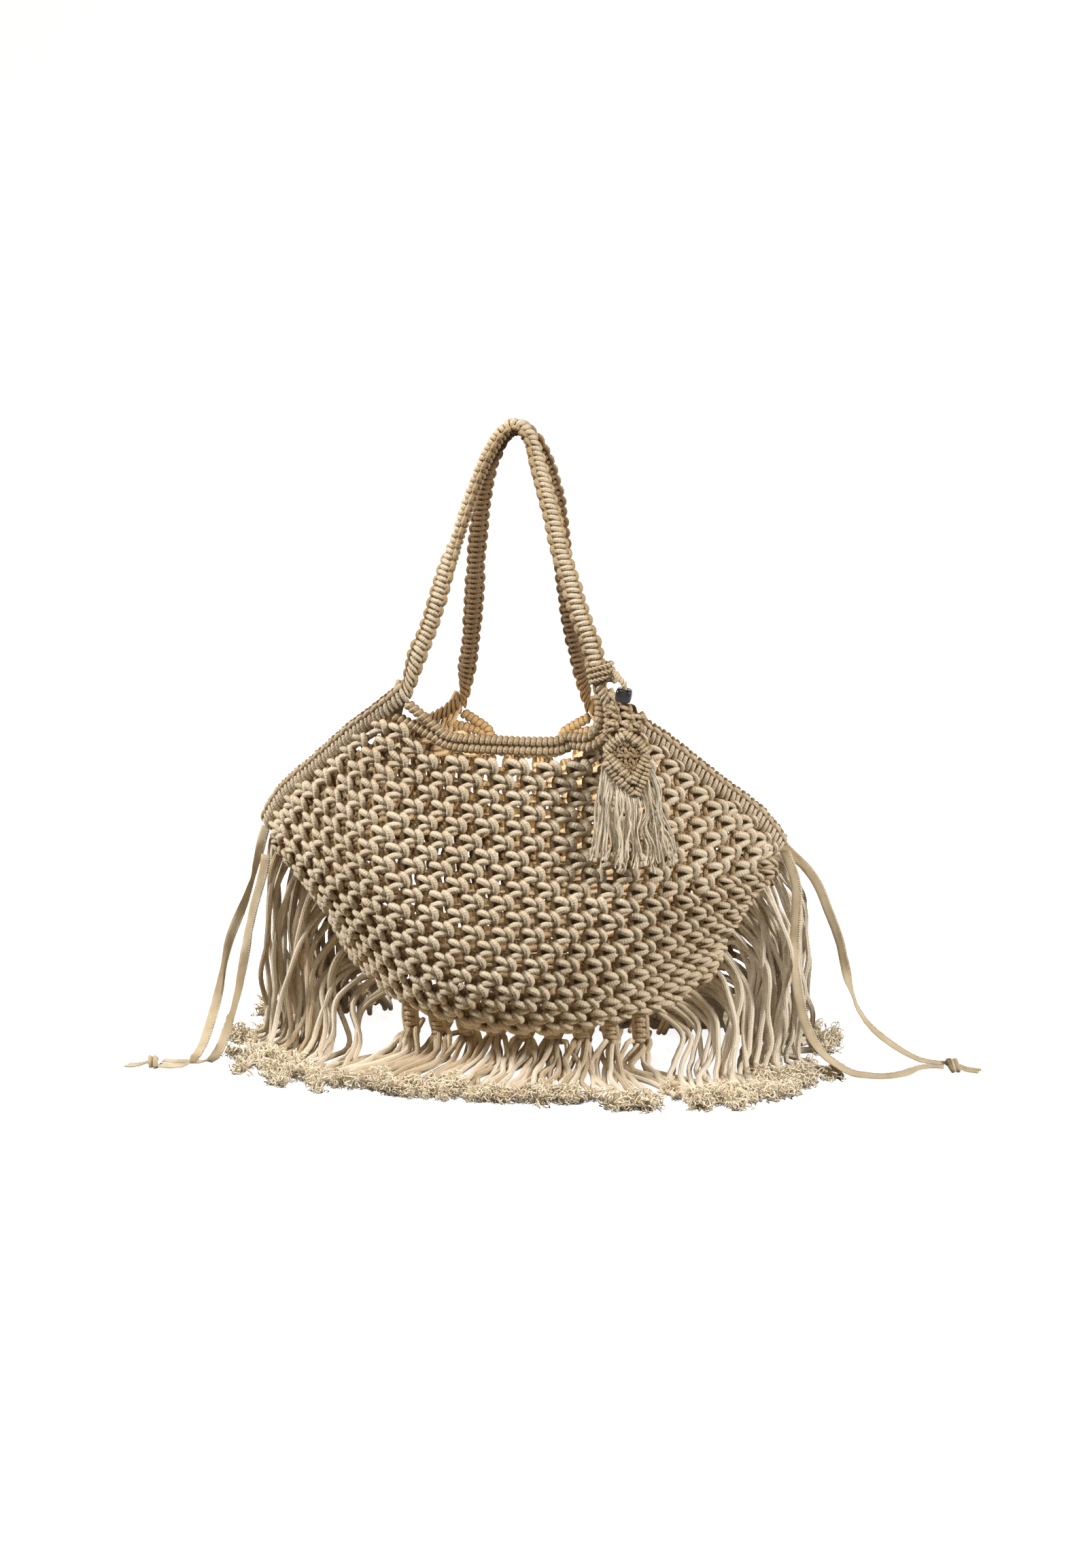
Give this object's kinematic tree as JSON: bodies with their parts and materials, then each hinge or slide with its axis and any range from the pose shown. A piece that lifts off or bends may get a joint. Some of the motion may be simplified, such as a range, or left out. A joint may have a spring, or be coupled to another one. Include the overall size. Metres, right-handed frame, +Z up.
{
  "type": "macrame bag",
  "caption": "Knotted cord shoulder bag: net pouch of two panels with sennit handles, long fringe, tape side ties and a bead and tassel charm",
  "frame": {"origin": "on the floor, below the middle of the bag's box, measured without the ties", "axes": "+X runs along the bag's width to the viewer's right, -Y is the front with the charm, +Z is up to the handles"},
  "size_m": [0.695, 0.3006, 0.5312],
  "materials": {
    "ecru_cotton_cord": "matt braided cotton cord, unbleached ecru",
    "ivory_cotton_yarn": "matt cotton yarn, ivory",
    "black_gloss_bead": "glossy black",
    "beige_cotton_tape": "flat woven cotton tape with a whipped edge, beige"
  },
  "bodies": {
    "root": {"front_net": "ecru_cotton_cord", "front_left_edge_band": "ecru_cotton_cord", "front_right_edge_band": "ecru_cotton_cord", "front_lower_roll": "ecru_cotton_cord", "front_upper_roll": "ecru_cotton_cord", "front_handle": "ecru_cotton_cord", "front_fringe": "ecru_cotton_cord", "back_net": "ecru_cotton_cord", "back_left_edge_band": "ecru_cotton_cord", "back_right_edge_band": "ecru_cotton_cord", "back_lower_roll": "ecru_cotton_cord", "back_upper_roll": "ecru_cotton_cord", "back_handle": "ecru_cotton_cord", "back_fringe": "ecru_cotton_cord", "left_fringe": "ecru_cotton_cord", "right_fringe": "ecru_cotton_cord", "charm_wrap": "ecru_cotton_cord", "charm_cord": "ecru_cotton_cord", "charm_bead": "black_gloss_bead", "charm_leaf": "ivory_cotton_yarn", "charm_tassel": "ivory_cotton_yarn", "left_tie_outer_run": "beige_cotton_tape", "left_tie_inner_run": "beige_cotton_tape", "left_tie_knot": "beige_cotton_tape", "right_tie_outer_run": "beige_cotton_tape", "right_tie_inner_run": "beige_cotton_tape", "right_tie_knot": "beige_cotton_tape"}
  },
  "joints": []
}
